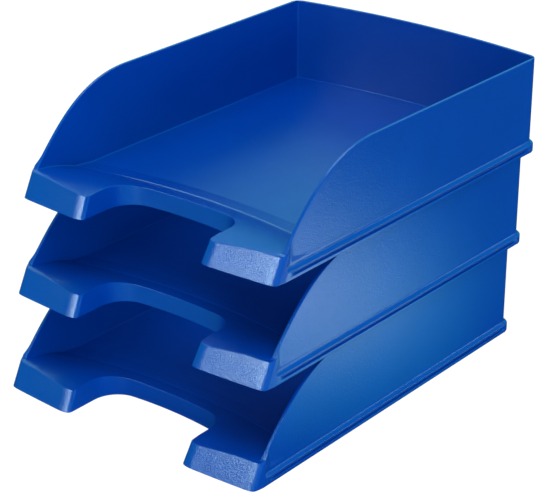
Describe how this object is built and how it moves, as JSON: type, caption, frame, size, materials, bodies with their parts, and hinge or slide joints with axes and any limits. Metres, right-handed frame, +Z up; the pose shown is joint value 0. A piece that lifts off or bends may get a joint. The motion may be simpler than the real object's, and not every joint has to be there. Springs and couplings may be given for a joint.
{
  "type": "letter tray stack",
  "caption": "Stack of open-front letter trays with swept side walls, bowed backs, finger cut-outs and stacking skirts; each tray lifts off the one below.",
  "frame": {"origin": "on the resting surface, under the middle of the stack's bounding box", "axes": "+X to the right seen from the front, +Y from the open front to the rear wall, +Z up"},
  "size_m": [0.255, 0.3792, 0.2356],
  "materials": {
    "blue_plastic": "satin, fine moulded grain"
  },
  "bodies": {
    "lower_tray": {"lower_tray": "blue_plastic"},
    "middle_tray": {"middle_tray": "blue_plastic"},
    "upper_tray": {"upper_tray": "blue_plastic"}
  },
  "joints": [
    {"name": "middle_tray_lift", "type": "slide", "parent": "lower_tray", "child": "middle_tray", "axis": [0, 0, 1], "range_m": [0, 0.1]},
    {"name": "upper_tray_lift", "type": "slide", "parent": "middle_tray", "child": "upper_tray", "axis": [0, 0, 1], "range_m": [0, 0.1]}
  ]
}
